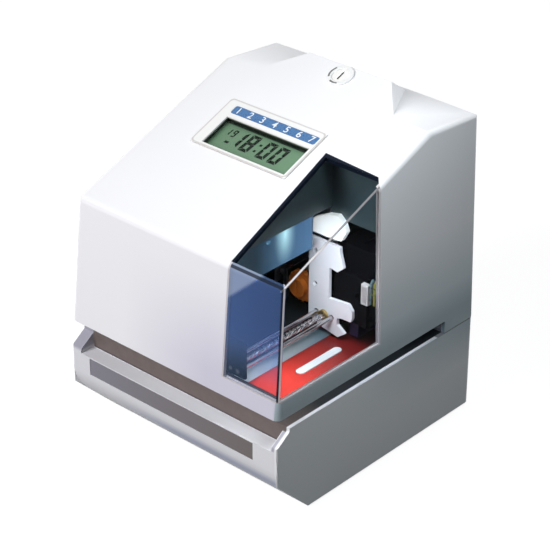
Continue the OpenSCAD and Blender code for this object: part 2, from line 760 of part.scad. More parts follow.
module print_head() {
  color([0.16, 0.16, 0.17]) at_front() translate([print_x, head_y, 0]) difference() {
    union() {
      translate([0, 0, rod_z + 8.05]) cylinder(r = 9, h = 14);
      // Cooling fins
      for (i = [0 : 3]) translate([0, 0, rod_z + 9 + 3.4 * i]) cylinder(r = 9.5, h = 1.4);
      translate([0, 0, rod_z + 1]) cylinder(r1 = 4, r2 = 7, h = 7.1);
      translate([-2.2, -3, table_z + 4.2]) cube([4.4, 6, rod_z + 2 - table_z - 4.2]);
    }
    translate([0, 0, table_z]) cylinder(r = 1.25, h = 12);
  }
}

module print_pins() {
  color([0.8, 0.8, 0.82]) at_front() translate([print_x, head_y, 0]) {
    for (i = [-2 : 2]) translate([0, i * 0.42, table_z + 4.1]) cylinder(r = 0.16, h = 7, $fn = 16);
    translate([0, 0, table_z + 9.6]) cylinder(r = 1.2, h = 1.6);
  }
}

module ribbon_cassette() {
  y0 = bracket_y + 4.2;
  color([0.09, 0.09, 0.1]) at_front() difference() {
    union() {
      // Flat box over the head
      box([print_x - 9, y0, rod_z + 30.2], [hw - 8, y0 + 31, rod_z + 46]);
      // Deep side over the take-up spool
      box([print_x + 11.8, y0, rod_z + 6], [hw - 8, y0 + 31, rod_z + 31]);
      bar_y(print_x + 16, rod_z + 22, y0 - 1.4, y0 + 1, 4);
    }
    // Grip recess on top and slot for the ribbon
    box([print_x + 2, y0 + 6, rod_z + 44.5], [print_x + 18, y0 + 25, rod_z + 47]);
    box([print_x - 3.6, y0 + 1.2, rod_z + 29], [print_x + 3.6, y0 + 2.8, rod_z + 36]);
    box([print_x - 3.6, y0 + 24.6, rod_z + 29], [print_x + 3.6, y0 + 26.2, rod_z + 36]);
  }
}

module ribbon() {
  y0 = bracket_y + 4.2;
  z0 = table_z + 2.9;
  color([0.12, 0.1, 0.2]) at_front() {
    box([print_x - 3, y0 + 1.9, z0], [print_x + 3, y0 + 2.1, rod_z + 34]);
    box([print_x - 3, y0 + 25.3, z0], [print_x + 3, y0 + 25.5, rod_z + 34]);
    box([print_x - 3, y0 + 1.9, z0], [print_x + 3, y0 + 25.5, z0 + 0.2]);
  }
}

module head_connector() {
  color([0.92, 0.92, 0.9]) at_front() difference() {
    box([print_x + 9.9, bracket_y - 0.6, rod_z + 17], [print_x + 14.3, bracket_y + 1.98, rod_z + 29]);
    for (i = [0 : 4]) box([print_x + 10.5 + 0.7 * i, bracket_y - 1, rod_z + 18.4], [print_x + 10.9 + 0.7 * i, bracket_y, rod_z + 27.6]);
  }
}

module ribbon_knob() {
  // Disc behind the white plate, hub in front of it, shaft through the lug and a collar behind that
  color([0.92, 0.5, 0.12]) at_front() translate([knob_x, bracket_y + 5.6, rod_z + 9]) rotate([90, 0, 0]) {
    difference() {
      union() {
        cylinder(r = 8.6, h = 3);
        translate([0, 0, 2]) cylinder(r = 5.4, h = 4.5);
        for (k = [0 : 17]) rotate(k * 20) translate([8.5, 0, 0]) cylinder(r = 0.7, h = 3, $fn = 16);
      }
      translate([-0.9, -4, 5]) cube([1.8, 8, 3]);
    }
    translate([0, 0, -5]) cylinder(r = 1.5, h = 5.5);
    translate([0, 0, -5.4]) cylinder(r = 3, h = 1.6);
  }
}

module lamp() {
  color([0.9, 0.95, 1]) at_front() {
    box([window_x1 - 8, bracket_y - 45.5, zb + 128.6], [window_x1 - 4.4, bracket_y - 19.5, zb + 130.2]);
    for (y = [-40.5, -32.5, -24.5]) translate([window_x1 - 6.2, bracket_y + y, zb + 125.6]) cylinder(r1 = 1, r2 = 1.6, h = 3.1);
  }
}

module lamp_arm() {
  color([0.5, 0.52, 0.54]) at_front() {
    box([frame_x + frame_t, bracket_y - 39.5, zb + 130.22], [window_x1 - 4.4, bracket_y - 25.5, zb + 131.2]);
    box([frame_x + frame_t, bracket_y - 39.5, zb + 122], [frame_x + frame_t + 1, bracket_y - 25.5, zb + 131.2]);
  }
}

module display_board() {
  color([0.1, 0.35, 0.2]) at_front() on_slope(board_x, board_y) difference() {
    union() {
      translate([-29, -30, -9.3]) cube([63.5, 46, 1.6]);
      // Spacers down to the tray
      for (x = [-26, 26], y = [-27, 12.5]) translate([x, y, -11.98]) cylinder(r = 2, h = 2.7);
    }
    for (x = [-26, 26], y = [-27, 12.5]) translate([x, y, -14]) cylinder(r = 1, h = 8);
    // Corner left free for the reflector when the cover comes off
    translate([reflector_x - 1.2 - board_x, (bracket_y - 4 - board_y) / 0.931, -11]) cube([60, 60, 5]);
  }
}

module lcd_panel() {
  color([0.55, 0.68, 0.5]) at_front() on_slope(bezel_x, bezel_y) translate([lcd_u, lcd_v, 0]) {
    translate([-lcd_w / 2 - 1, -lcd_l / 2 - 1.5, -5.9]) cube([lcd_w + 2, lcd_l + 3, 2.9]);
    // Elastic contact rails down to the board
    for (s = [-1, 1]) translate([-lcd_w / 2 + 1, s * (lcd_l / 2 - 0.6) - 1, -7.69]) cube([lcd_w - 4, 2, 1.8]);
  }
}

// Push button of the setting row, n counts from the left
module set_button(n) {
  color([0.25, 0.27, 0.3]) at_front() on_slope(board_x - 20 + 10 * n, board_y) translate([0, -24.5, 0]) {
    translate([0, 0, -6.2]) cylinder(r = 1.7, h = 2.4);
  }
}
module button_left() {
  set_button(0);
}
module button_middle() {
  set_button(1);
}
module button_right() {
  set_button(2);
}

module switch_bodies() {
  color([0.15, 0.15, 0.16]) at_front() for (n = [0 : 2]) on_slope(board_x - 20 + 10 * n, board_y) difference() {
    translate([-3, -27.5, -7.68]) cube([6, 6, 2.7]);
    translate([0, -24.5, -6.9]) cylinder(r = 1.75, h = 4);
  }
}

module trigger_bracket() {
  color([0.6, 0.62, 0.64]) at_front() difference() {
    union() {
      for (x = [-18, -9]) box([x, rear_y - 28, cover_z + 3], [x + 1, rear_y, cover_z + 15]);
      box([-18, rear_y - 1, cover_z + 3], [-8, rear_y, cover_z + 15]);
    }
    bar_x(rear_y - 22, cover_z + 9, -20, -5, 1);
  }
}

module trigger_lever() {
  color([0.2, 0.2, 0.22]) at_front() {
    bar_x(rear_y - 22, cover_z + 9, -18.8, -7.2, 1 - fit_gap);
    bar_x(rear_y - 22, cover_z + 9, -16.6, -9.4, 3);
    translate([0, rear_y - 22, 0]) across([[-2.8, cover_z + 8], [2.4, cover_z + 10], [0.4, cover_z - 3], [-1, table_z + 1.2],
      [-4.4, table_z + 1.2], [-3.6, cover_z - 2]], -14.5, -11.5);
  }
}

module main_board() {
  color([0.1, 0.38, 0.22]) at_front() difference() {
    union() {
      box([-8, deck_y, plate_z + 8], [50, deck_y + 84, plate_z + 9.6]);
      for (x = [-4, 46], y = [4, 80]) translate([x, deck_y + y, plate_z + 0.02]) cylinder(r = 2.5, h = 8);
    }
    for (x = [-4, 46], y = [4, 80]) translate([x, deck_y + y, plate_z + 5]) cylinder(r = 1.2, h = 8);
  }
}

module board_parts() {
  z = plate_z + 9.62;
  color([0.14, 0.14, 0.15]) at_front() translate([0, deck_y, 0]) {
    box([8, 10, z], [22, 24, z + 2]);
    box([28, 10, z], [46, 18, z + 3]);
    box([8, 34, z], [26, 42, z + 3]);
    for (p = [[40, 28], [40, 42], [14, 50]]) translate([p[0], p[1], z]) cylinder(r = 5, h = 14);
    box([0, 58, z], [30, 64, z + 8]);
    box([36, 56, z], [40, 74, z + 18]);
  }
}

module transformer() {
  color([0.45, 0.44, 0.42]) at_front() translate([0, deck_y, 0]) difference() {
    union() {
      box([-58, 30, plate_z + 0.02], [-14, 64, plate_z + 30]);
      box([-52, 22, plate_z + 5], [-20, 72, plate_z + 25]);
      box([-64, 40, plate_z + 0.02], [-10, 54, plate_z + 1.6]);
    }
    for (x = [-61, -12.5]) translate([x, 47, plate_z - 1]) cylinder(r = 1.2, h = 5);
  }
}

module battery_pack() {
  color([0.2, 0.45, 0.75]) at_front() for (i = [0 : 1]) bar_x(deck_y - 1 + 14.5 * i, plate_z + 7.2, -50, -10, 7.15);
}

module power_inlet() {
  color([0.08, 0.08, 0.09]) at_front() difference() {
    union() {
      box([inlet_x - 10.9, body_d - wall - 11, inlet_z - 6.9], [inlet_x + 10.9, body_d - 0.2, inlet_z + 6.9]);
      box([inlet_x - 14, body_d - wall - 3, inlet_z - 10], [inlet_x + 14, body_d - wall - 0.05, inlet_z + 10]);
    }
    // Socket with its two contacts left standing
    difference() {
      translate([inlet_x, body_d - wall - 8, inlet_z]) rotate([-90, 0, 0]) linear_extrude(height = 20) union() {
        for (s = [-1, 1]) translate([s * 3.4, 0]) circle(r = 3.4);
        square([6.8, 6.8], center = true);
      }
      for (s = [-1, 1]) bar_y(inlet_x + s * 3.4, inlet_z, body_d - wall - 9, body_d - 2.4, 1.1);
    }
  }
}

base_tub();
bottom_plate();
feet();
base_screws();
lip_inlay();
position_label();
platen();
chassis();
chassis_screws();
guide_rods();
motor();
lock_catch();
trigger_bracket();
lamp_arm();
lamp();
display_board();
lcd_panel();
switch_bodies();
main_board();
board_parts();
transformer();
battery_pack();
power_inlet();
lead_screw();
screw_gear();
motor_pinion();
motor_shaft();
carriage();
drive_nut();
ribbon_bracket();
print_head();
ribbon_cassette();
ribbon();
head_connector();
print_pins();
ribbon_knob();
trigger_lever();
button_left();
button_middle();
button_right();
cover_shell();
window();
lcd_bezel();
weekday_strip();
lcd_lens();
light_shield();
reflector();
lamp_diffuser();
lock_body();
lock_barrel();
lock_cam();
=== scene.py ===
import math

import bmesh
import bpy
from mathutils import Matrix, Vector


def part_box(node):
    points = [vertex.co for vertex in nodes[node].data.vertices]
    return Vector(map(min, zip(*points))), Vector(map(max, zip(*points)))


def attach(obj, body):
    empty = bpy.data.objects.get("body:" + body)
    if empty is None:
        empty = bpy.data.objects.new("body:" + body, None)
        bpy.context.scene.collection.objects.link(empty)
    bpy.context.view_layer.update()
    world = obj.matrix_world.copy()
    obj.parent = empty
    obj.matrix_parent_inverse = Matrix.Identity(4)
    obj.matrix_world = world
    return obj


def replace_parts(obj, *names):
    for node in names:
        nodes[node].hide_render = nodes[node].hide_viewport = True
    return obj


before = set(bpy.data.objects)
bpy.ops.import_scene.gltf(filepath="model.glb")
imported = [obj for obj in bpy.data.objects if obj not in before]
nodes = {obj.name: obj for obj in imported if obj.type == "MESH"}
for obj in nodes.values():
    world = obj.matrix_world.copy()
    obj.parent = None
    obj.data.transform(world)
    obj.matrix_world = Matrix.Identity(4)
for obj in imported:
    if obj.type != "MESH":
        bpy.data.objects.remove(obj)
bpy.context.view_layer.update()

# Camera: a long lens a good metre from the machine, looking down on the corner between its front and
# its right side.
eye = Vector((0.6377, -0.69723, 0.62026))
aim = Vector((0.00828, -0.00825, 0.09321))
lens = bpy.data.cameras.new("camera")
lens.lens = 132.5
lens.sensor_width = 36
lens.clip_start = 0.05
camera = bpy.data.objects.new("camera", lens)
camera.location = eye
camera.rotation_euler = (aim - eye).to_track_quat("-Z", "Y").to_euler()
bpy.context.scene.collection.objects.link(camera)
bpy.context.scene.camera = camera
bpy.context.scene.view_settings.view_transform = "Standard"


# Floor and light: a pale studio floor runs off in every direction. A large soft box hangs high in front
# and a weaker one overhead, weak ones stand at the left and the back, and a small one close over the right
# side lets that side fade downwards. It stays the darkest.
class Wire:
    """A value inside a material. Sums on it add Math nodes."""

    def __init__(self, tree, socket):
        self.tree, self.socket = tree, socket

    def math(self, operation, *others, flip=False, clamp=False):
        node = self.tree.nodes.new("ShaderNodeMath")
        node.operation = operation
        node.use_clamp = clamp
        values = [self, *others]
        if flip:
            values.reverse()
        for place, value in zip(node.inputs, values):
            feed(self.tree, place, value)
        return Wire(self.tree, node.outputs[0])

    def __add__(self, other):
        return self.math("ADD", other)

    def __sub__(self, other):
        return self.math("SUBTRACT", other)

    def __rsub__(self, other):
        return self.math("SUBTRACT", other, flip=True)

    def __mul__(self, other):
        return self.math("MULTIPLY", other)

    def __truediv__(self, other):
        return self.math("DIVIDE", other)

    def __pow__(self, other):
        return self.math("POWER", other)

    __radd__ = __add__

    def maximum(self, *others):
        """The highest of the values: a mask for all the places of several masks."""
        highest = self
        for other in others:
            highest = highest.math("MAXIMUM", other)
        return highest

    def clamped(self):
        return self.math("ADD", 0, clamp=True)

    def above(self, limit, soft=0.3):
        """0 below the limit and 1 above it, over a soft edge."""
        return ((self - limit) / soft).math("ADD", 0.5, clamp=True)

    def below(self, limit, soft=0.3):
        return 1 - self.above(limit, soft)


def feed(tree, place, value):
    if isinstance(value, Wire):
        tree.links.new(value.socket, place)
    else:
        place.default_value = value


class Graph:
    """A node tree as it is put together."""

    def node(self, kind, settings=None, inputs=None, out=0):
        node = self.tree.nodes.new(kind)
        for key, value in (settings or {}).items():
            setattr(node, key, value)
        for key, value in (inputs or {}).items():
            feed(self.tree, node.inputs[key], value)
        return None if out is None else Wire(self.tree, node.outputs[out])


class Paint(Graph):
    """A material, or the world."""

    def __init__(self, name, tree=None):
        if tree is None:
            self.material = bpy.data.materials.new(name)
            self.material.use_nodes = True
            tree = self.material.node_tree
        tree.nodes.clear()
        self.tree = tree

    def mix(self, factor, first, second):
        first, second = (c if isinstance(c, Wire) else (*c, 1) for c in (first, second))
        return self.node("ShaderNodeMix", {"data_type": "RGBA"}, {0: factor, 6: first, 7: second}, 2)

    def layered(self, hue, *layers):
        """The hue with more colours laid over it, each where its mask says."""
        for mask, colour in layers:
            hue = self.mix(mask, hue, colour)
        return hue

    def blend(self, factor, first, second):
        return self.node("ShaderNodeMixShader", {}, {0: factor, 1: first, 2: second})

    def coordinates(self):
        return self.node("ShaderNodeTexCoord", out="Object")

    def stretched(self, scale):
        return self.node("ShaderNodeMapping", {}, {"Vector": self.coordinates(), "Scale": scale})

    def millimetres(self):
        """The x, y and z of the surface point, in millimetres."""
        split = self.node("ShaderNodeSeparateXYZ", {}, {"Vector": self.coordinates()}).socket.node
        return [Wire(self.tree, split.outputs[i]) * 1000 for i in range(3)]

    def noise(self, scale, detail=2, vector=None):
        inputs = {"Vector": vector or self.coordinates(), "Scale": scale, "Detail": detail}
        return self.node("ShaderNodeTexNoise", {}, inputs)

    def bump(self, height, distance, strength):
        return self.node("ShaderNodeBump", {}, {"Height": height, "Distance": distance, "Strength": strength})

    def principled(self, **inputs):
        named = {key.replace("_", " "): value for key, value in inputs.items()}
        for key, value in named.items():
            if isinstance(value, tuple) and len(value) == 3:
                named[key] = (*value, 1)
        return self.node("ShaderNodeBsdfPrincipled", {}, named)

    def surface(self, shader):
        self.node("ShaderNodeOutputMaterial", {}, {"Surface": shader}, None)
        return self.material


def seen_directly(paint):
    """1 for what the lens sees, also in a shine or through a pane, and 0 for light that falls on things."""
    path = paint.node("ShaderNodeLightPath").socket.node
    kinds = "Is Camera Ray", "Is Glossy Ray", "Is Transmission Ray"
    straight, mirrored, through = (Wire(paint.tree, path.outputs[kind]) for kind in kinds)
    return straight.maximum(mirrored, through)


floor_reach = 6
corners = [(x * floor_reach, y * floor_reach, 0) for x, y in ((-1, -1), (1, -1), (1, 1), (-1, 1))]
floor_mesh = bpy.data.meshes.new("floor")
floor_mesh.from_pydata(corners, [], [(0, 1, 2, 3)])
floor = bpy.data.objects.new("floor", floor_mesh)
bpy.context.scene.collection.objects.link(floor)
paint = Paint("studio_floor")
glow = paint.node("ShaderNodeEmission", {}, {"Color": (1, 1, 1, 1), "Strength": 0.9})
pale = paint.node("ShaderNodeBsdfDiffuse", {}, {"Color": (0.2, 0.2, 0.2, 1)})
shown_floor = paint.node("ShaderNodeAddShader", {}, {0: glow, 1: pale})
lit_floor = paint.node("ShaderNodeBsdfDiffuse", {}, {"Color": (0.04, 0.047, 0.052, 1)})
floor_mesh.materials.append(paint.surface(paint.blend(seen_directly(paint), lit_floor, shown_floor)))

world = bpy.data.worlds.new("studio")
world.use_nodes = True
bpy.context.scene.world = world
paint = Paint("studio", world.node_tree)
shown = seen_directly(paint)
hue = paint.mix(shown, (0.82, 0.96, 1.0), (1, 1, 1))
ambient = 0.03
air = paint.node("ShaderNodeBackground", {}, {"Color": hue, "Strength": shown * (1 - ambient) + ambient})
paint.node("ShaderNodeOutputWorld", {}, {"Surface": air}, None)


def soft_box(name, towards, distance, size, watts, colour, about=(0, 0, 0.09)):
    light = bpy.data.lights.new(name, "AREA")
    light.shape = "DISK"
    light.size, light.energy, light.color = size, watts, colour
    lamp = bpy.data.objects.new(name, light)
    lamp.location = Vector(about) + Vector(towards).normalized() * distance
    lamp.rotation_euler = (Vector(about) - lamp.location).to_track_quat("-Z", "Y").to_euler()
    bpy.context.scene.collection.objects.link(lamp)
    return lamp


soft_box("front_box", (-0.2, -0.84, 0.53), 1.45, 0.8, 19.2, (0.995, 0.988, 1.0))
soft_box("top_box", (0.14, 0.3, 0.95), 1.0, 0.6, 2.1, (0.99, 0.99, 1.0))
soft_box("side_box", (0.11, -0.04, 0.2), 0.24, 0.1, 0.265, (0.86, 0.95, 1.0), (0.07, 0, 0.11))
soft_box("left_box", (-1.0, 0.2, 0.25), 1.2, 0.5, 2.0, (0.97, 0.98, 1.0))
soft_box("back_box", (0.1, 1.0, 0.25), 1.2, 0.5, 2.4, (0.97, 0.98, 1.0))


# Casing: the base tub and the lift-off cover are two white moulded shells with a very fine spark-eroded
# grain. The cover drops over the base and its edges carry a small moulded radius.
cloud_scale, grain_scale = 22, 3200


def clouded(paint, colour, shade):
    """The colour with faint clouds of its shade in it."""
    return paint.mix((paint.noise(cloud_scale, 4) - 0.35) * 2.2, colour, shade)


def skin(paint, hue, roughness, grain=0.00002, size=grain_scale, gloss=0.5):
    """The surface of a moulding: a given hue with an uneven sheen and a fine grain."""
    fine = paint.noise(size, 3)
    flow = paint.noise(cloud_scale * 9, 3)
    sheen = (flow - 0.5) * 0.14 + (fine - 0.5) * 0.08 + roughness
    return paint.surface(paint.principled(
        Base_Color=hue, Roughness=sheen, Normal=paint.bump(fine, grain, 0.6), Specular_IOR_Level=gloss))


def moulded(name, colour, shade, roughness, grain=0.00002, size=grain_scale, gloss=0.5):
    """Injection-moulded plastic in one clouded colour."""
    paint = Paint(name)
    return skin(paint, clouded(paint, colour, shade), roughness, grain, size, gloss)


def dress(material, *names):
    for name in names:
        for slot in nodes[name].material_slots:
            slot.material = material


def tidy_mesh(mesh, crease=28):
    """Smooth shading over the curved faces, with every real edge kept sharp."""
    mesh.shade_smooth()
    mesh.set_sharp_from_angle(angle=math.radians(crease))
    return mesh


def piece(name, mesh, material, body):
    """A finished piece of the machine, riding on one of its bodies."""
    thing = bpy.data.objects.new(name, mesh)
    bpy.context.scene.collection.objects.link(thing)
    mesh.materials.clear()
    mesh.materials.append(material)
    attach(thing, body)
    return thing


def plain(thing):
    """The object's mesh with its modifiers worked in."""
    graph = bpy.context.evaluated_depsgraph_get()
    return bpy.data.meshes.new_from_object(thing.evaluated_get(graph))


same_point = 2e-6
flat, sharp = math.radians(0.4), math.radians(34)


def rounded(name, node, radius, material, body, steps=2, nose=None):
    """Stands for a node, with its sharp edges rounded off as a mould leaves them. A nose gives the places
    of one long edge, as a test on its points, and the wider rounding that this edge has."""
    mesh = nodes[node].data.copy()
    work = bmesh.new()
    work.from_mesh(mesh)
    bmesh.ops.remove_doubles(work, verts=work.verts, dist=same_point)
    bmesh.ops.dissolve_limit(work, angle_limit=flat, verts=work.verts, edges=work.edges)
    if nose:
        weights = work.edges.layers.float.new("bevel_weight_edge")
        for line in work.edges:
            line[weights] = float(all(nose[0](v.co) for v in line.verts))
    work.to_mesh(mesh)
    work.free()
    tidy_mesh(mesh)
    draft = bpy.data.objects.new(name + "_draft", mesh)
    bpy.context.scene.collection.objects.link(draft)
    if nose:
        round_off = draft.modifiers.new("nose", "BEVEL")
        round_off.width, round_off.segments, round_off.limit_method = nose[1], 8, "WEIGHT"
        round_off.use_clamp_overlap = False
    edge = draft.modifiers.new("edge", "BEVEL")
    edge.width, edge.segments, edge.limit_method = radius, steps, "ANGLE"
    edge.angle_limit = sharp
    even = draft.modifiers.new("even", "WEIGHTED_NORMAL")
    even.keep_sharp = True
    made = plain(draft)
    bpy.data.objects.remove(draft)
    low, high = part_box(node)
    for point in made.vertices:
        point.co = [min(max(c, a), b) for c, a, b in zip(point.co, low, high)]
    thing = piece(name, made, material, body)
    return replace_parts(thing, node)


paint = Paint("casing_white")
x, y, z = paint.millimetres()
front_face = y.below(-72.2, 1)
right_face = x.above(72.3, 0.5)
hue = paint.layered(
    clouded(paint, (0.885, 0.88, 0.892), (0.87, 0.868, 0.887)),
    # Painted light: the front face is painted lighter and a little lavender, its lower right a darker
    # lavender as painted shade
    (front_face, (0.93, 0.922, 0.95)),
    (front_face * x.above(-5, 60) * z.below(100, 50), (0.69, 0.67, 0.78)),
    # Painted shade: the right side is painted darker towards its foot, in two steps
    (right_face * z.below(92, 56), (0.55, 0.65, 0.69)),
    (right_face * z.below(76, 16) * 0.85, (0.36, 0.44, 0.47)))
casing_white = skin(paint, hue, 0.45, gloss=0.3)
rounded("cover_casing", "cover_shell", 0.0007, casing_white, "cover", 3)

# The base's top is a brown table. Painted shade darkens it under the cover, to near black, and along the
# foot of its front step. Its side walls stand up beside it.
paint = Paint("base_white")
x, y, z = paint.millimetres()
fine = paint.noise(grain_scale, 3)
worn = paint.noise(240, 4)
table = x.above(-67.8, 0.1) * x.below(72.9, 0.1) * y.above(-71.2, 0.1) * y.below(54, 0.1) * z.above(45.7, 0.1)
table_foot_shade = z.below(46.7, 0.5) * y.below(-69, 0.2)
brown = paint.mix(worn, (0.125, 0.098, 0.092), (0.175, 0.14, 0.13))
brown = paint.mix(table_foot_shade * 0.75, brown, (0.05, 0.04, 0.045))
table_hue = paint.mix(y.above(-56, 26), brown, (0.014, 0.018, 0.02))
beside_table = y.below(60, 1)
# Painted highlight along the top of the right wall
wall_top_highlight = x.above(73.2, 0.3) * z.above(57, 1) * beside_table
# Painted shade on the right wall's inner face and on the left end wall's slanted cheek
wall_inside_shade = x.above(71.4, 0.3) * x.below(73.0, 0.4) * z.above(46, 1) * beside_table * 0.85
left_cheek_shade = x.below(-66, 6) * z.above(47.2, 2) * y.below(-58, 8)
# Painted light: the base's right side is painted lighter than the rest of the base
right_side = x.above(73.6, 0.5) * z.below(56.5, 1)
# Painted shade on the base's right side under the cover's overhang
under_cover_shade = right_side * y.above(30, 100) * z.above(42, 26) * 0.8
# Painted shade on the lower part of the lip's rounded nose, deeper towards the right
under_lip_shade = z.below(27.5, 5) * y.below(-70, 4) * x.above(-25, 50) * x.below(74.2, 0.8)
parting_line = z.above(56.1, 0.3) * y.above(48, 0.5) * 0.75
hue = paint.layered(
    clouded(paint, (0.81, 0.81, 0.84), (0.79, 0.792, 0.83)),
    (wall_top_highlight, (0.95, 0.95, 0.95)),
    (left_cheek_shade.maximum(wall_inside_shade), (0.38, 0.37, 0.44)),
    (right_side, (0.95, 0.96, 0.97)),
    (under_cover_shade, (0.3, 0.42, 0.48)),
    (under_lip_shade, (0.44, 0.47, 0.61)),
    (parting_line, (0.06, 0.06, 0.07)),
    (table, table_hue))
base_white = paint.surface(paint.principled(
    Base_Color=hue, Roughness=(fine - 0.5) * 0.1 + worn * 0.08 + 0.42,
    Normal=paint.bump(fine, 0.00002, 0.6), Specular_IOR_Level=0.3))


def on_lip_edge(point):
    return point.y < -0.0798 and abs(point.z - 0.0255) < 0.0002


rounded("base_casing", "base_tub", 0.0005, base_white, "base", nose=(on_lip_edge, 0.008))


# Lip strip: a satin grey plastic strip pressed into the recess of the lip. It is painted darker from its
# paler left end to a warm brown grey at the right: painted shade.
paint = Paint("strip_grey")
x, y, z = paint.millimetres()
run = ((x + 62) / 118).clamped()
hue = paint.mix(run ** 0.8, (0.21, 0.205, 0.25), (0.13, 0.105, 0.1))
grain = paint.noise(2400, 3, paint.stretched((0.15, 1, 1)))
dress(paint.surface(paint.principled(
    Base_Color=paint.mix(grain * 0.12, hue, (0.12, 0.12, 0.14)), Roughness=grain * 0.15 + 0.3,
    Normal=paint.bump(grain, 0.00001, 0.5))), "lip_inlay")


# Window: one clear acrylic moulding wraps round the corner and is cemented into the cover's opening. Its
# front pane is tinted blue. Pale lines are painted along its cemented rims, and along its rounded corner and
# its ridge as painted highlights; dark lines of painted shade lie beside the corner, along the fold and on
# the ridge's upper part. The masks below measure, in millimetres, how far a point lies inside each of the
# three panes.
cover_foot = 64
slope_y, slope_z, slope_rise = -72.5, 136.5, 0.39245
slope_angle = math.atan(slope_rise)
thick = 2.2

paint = Paint("clear_acrylic")
x, y, z = paint.millimetres()
behind_front = y + 79.4 - (z - cover_foot) * 0.0952
inside_right = 75 - (z - cover_foot) * 0.0289 - x
under_slope = (slope_z + (y - slope_y) * slope_rise - z) * math.cos(slope_angle)
front_pane = behind_front.below(thick - 0.05, 0.1)
turn = behind_front - inside_right
near = behind_front.below(2 * thick) * inside_right.below(2 * thick) * under_slope.above(0.5)
corner = turn.above(-0.15) * turn.below(1.1) * near
dark_corner = turn.above(-1.5) * turn.below(-0.15) * near
turn = under_slope - inside_right
near = under_slope.below(4) * inside_right.below(4) * behind_front.above(0.6)
ridge = turn.above(-0.6) * turn.below(0.6) * near
turn = under_slope - behind_front
near = under_slope.below(4) * behind_front.below(4) * inside_right.above(0.6)
fold = turn.above(-1.0) * turn.below(0.8) * near
sill = z.below(75.0, 0.2)
rear = y.above(-1.5, 0.2) * inside_right.below(thick)
left = x.below(37.0, 0.3) * front_pane
slope_pane = under_slope.below(thick - 0.05, 0.1) * (1 - front_pane)
seam = (x + y * 0.0701).below(32.7, 0.3).maximum(y.above(3.4, 0.3)) * slope_pane
facing = paint.node("ShaderNodeLayerWeight", {}, {"Blend": 0.5}, "Facing")
shine = facing ** 6 * 0.35
mirror = paint.node("ShaderNodeBsdfGlossy", {}, {"Color": (0.95, 0.97, 1, 1), "Roughness": 0.03})
clear = paint.node("ShaderNodeBsdfTransparent", {}, {"Color": (0.93, 0.95, 0.96, 1)})
deep_blue = paint.node("ShaderNodeBsdfTransparent", {}, {"Color": (0.66, 0.75, 0.95, 1)})
weak_blue = paint.node("ShaderNodeBsdfTransparent", {}, {"Color": (0.86, 0.9, 0.95, 1)})
blue = paint.blend(z.below(94, 26), deep_blue, weak_blue)

# A milky haze lies over the tinted pane, weaker towards its foot and a little thicker towards its left.
# At its top left it is paler: a painted reflection of glare.
glare = (z - x * 0.89).above(86, 2.5)
veil = paint.mix(z.below(92, 20), (0.27, 0.46, 0.93), (0.27, 0.41, 0.68))
veil = paint.mix(glare, veil, (0.5, 0.6, 0.8))
haze = paint.principled(Base_Color=veil, Roughness=0.6, Specular_IOR_Level=0.0)
wisps = paint.noise(30, 3)
lift = glare * 0.28 + x.below(52, 30) * 0.05 - z.below(88, 16) * 0.11 + (wisps - 0.5) * 0.04 + 0.14
blue_pane = paint.blend(lift, blue, haze)
pane = paint.blend(shine, paint.blend(front_pane, clear, blue_pane), mirror)

# The pale lines are the cemented rims and painted highlights on the rounded corner and the ridge; the dark
# lines beside the corner, along the fold and on the ridge's upper part are painted shade, and the seams
# where the slope pane is cemented in are dark
cut = paint.noise(900, 3, paint.stretched((1, 1, 0.2)))
pale_cut = paint.mix(cut, (0.56, 0.5, 0.5), (0.76, 0.72, 0.73))
edge_hue = paint.mix(ridge * y.above(-40, 20) * 0.75, pale_cut, (0.05, 0.05, 0.06))
edge = paint.principled(Base_Color=edge_hue, Roughness=cut * 0.2 + 0.25)
dark_edge = paint.principled(Base_Color=(0.008, 0.012, 0.022), Roughness=0.4, Specular_IOR_Level=0.05)
lines = corner.maximum(ridge, sill, rear, left)
pane = paint.blend(lines * 0.9, pane, edge)
dark_lines = (fold * (1 - lines) * 0.85).maximum(seam, dark_corner * 0.8)
dress(paint.surface(paint.blend(dark_lines, pane, dark_edge)), "window")


# Display: a white frame dropped into the slope holds a clear lens over the green digit panel. Above the
# digits lies a blue printed strip with a plain number for each day of the week.
def slope_height(depth):
    return slope_z + (depth - slope_y) * slope_rise


def on_slope(x, depth):
    """Frame lying on the cover's slope, at a depth measured from the machine's middle."""
    place = Vector((x, depth, slope_height(depth))) / 1000
    return Matrix.Translation(place) @ Matrix.Rotation(slope_angle, 4, "X")


def plates(outlines, low, high, place):
    """Flat plates in millimetres, cut to the given outlines and set in place."""
    work = bmesh.new()
    for outline in outlines:
        bottom = [work.verts.new((u / 1000, v / 1000, low / 1000)) for u, v in outline]
        top = [work.verts.new((u / 1000, v / 1000, high / 1000)) for u, v in outline]
        work.faces.new(list(reversed(bottom)))
        work.faces.new(top)
        for i in range(len(outline)):
            j = (i + 1) % len(outline)
            work.faces.new((bottom[i], bottom[j], top[j], top[i]))
    bmesh.ops.recalc_face_normals(work, faces=work.faces)
    work.transform(place)
    mesh = bpy.data.meshes.new("plates")
    work.to_mesh(mesh)
    work.free()
    return mesh


display_x, display_y = -10.3, -0.8
display = on_slope(display_x, display_y)


def on_display(x, y, z):
    """Across, up and out of the display, measured from its middle on the slope."""
    back, up = y - display_y, z - slope_height(display_y)
    cosine, sine = math.cos(slope_angle), math.sin(slope_angle)
    return x - display_x, back * cosine + up * sine, up * cosine - back * sine


